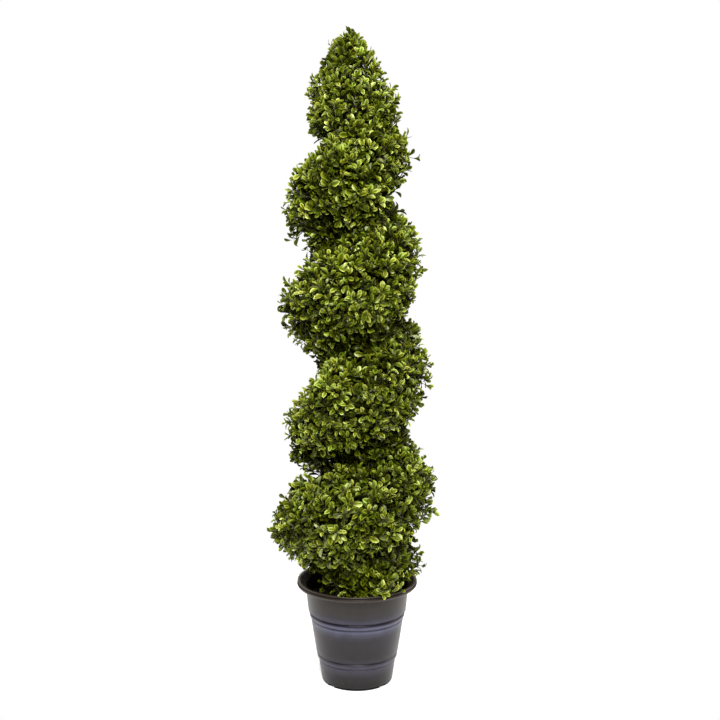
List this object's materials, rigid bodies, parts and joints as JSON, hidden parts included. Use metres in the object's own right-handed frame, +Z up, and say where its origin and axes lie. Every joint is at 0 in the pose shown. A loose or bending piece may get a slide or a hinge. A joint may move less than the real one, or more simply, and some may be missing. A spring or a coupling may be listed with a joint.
{
  "type": "artificial boxwood spiral topiary",
  "caption": "Artificial boxwood spiral topiary: dense leafy strand winding up a pole to a pointed crown, in a round tapered plastic pot with a rolled rim.",
  "frame": {"origin": "middle of the pot's flat underside, on the floor", "axes": "+Z up along the pot's axis; the plant's front faces -Y and its right side is +X"},
  "size_m": [0.3137, 0.3121, 1.2192],
  "materials": {
    "pot": "satin",
    "fill": "matte",
    "trunk": "matte",
    "foliage": "satin"
  },
  "bodies": {
    "root": {"pot": "pot", "pot_fill": "fill", "trunk": "trunk", "spiral_mass_01": "foliage", "spiral_mass_02": "foliage", "spiral_mass_03": "foliage", "spiral_mass_04": "foliage", "spiral_mass_05": "foliage", "spiral_mass_06": "foliage", "spiral_mass_07": "foliage", "spiral_mass_08": "foliage", "spiral_mass_09": "foliage", "spiral_mass_10": "foliage", "spiral_mass_11": "foliage", "spiral_mass_12": "foliage", "spiral_mass_13": "foliage", "spiral_mass_14": "foliage", "spiral_mass_15": "foliage", "crown_mass": "foliage"}
  },
  "joints": []
}
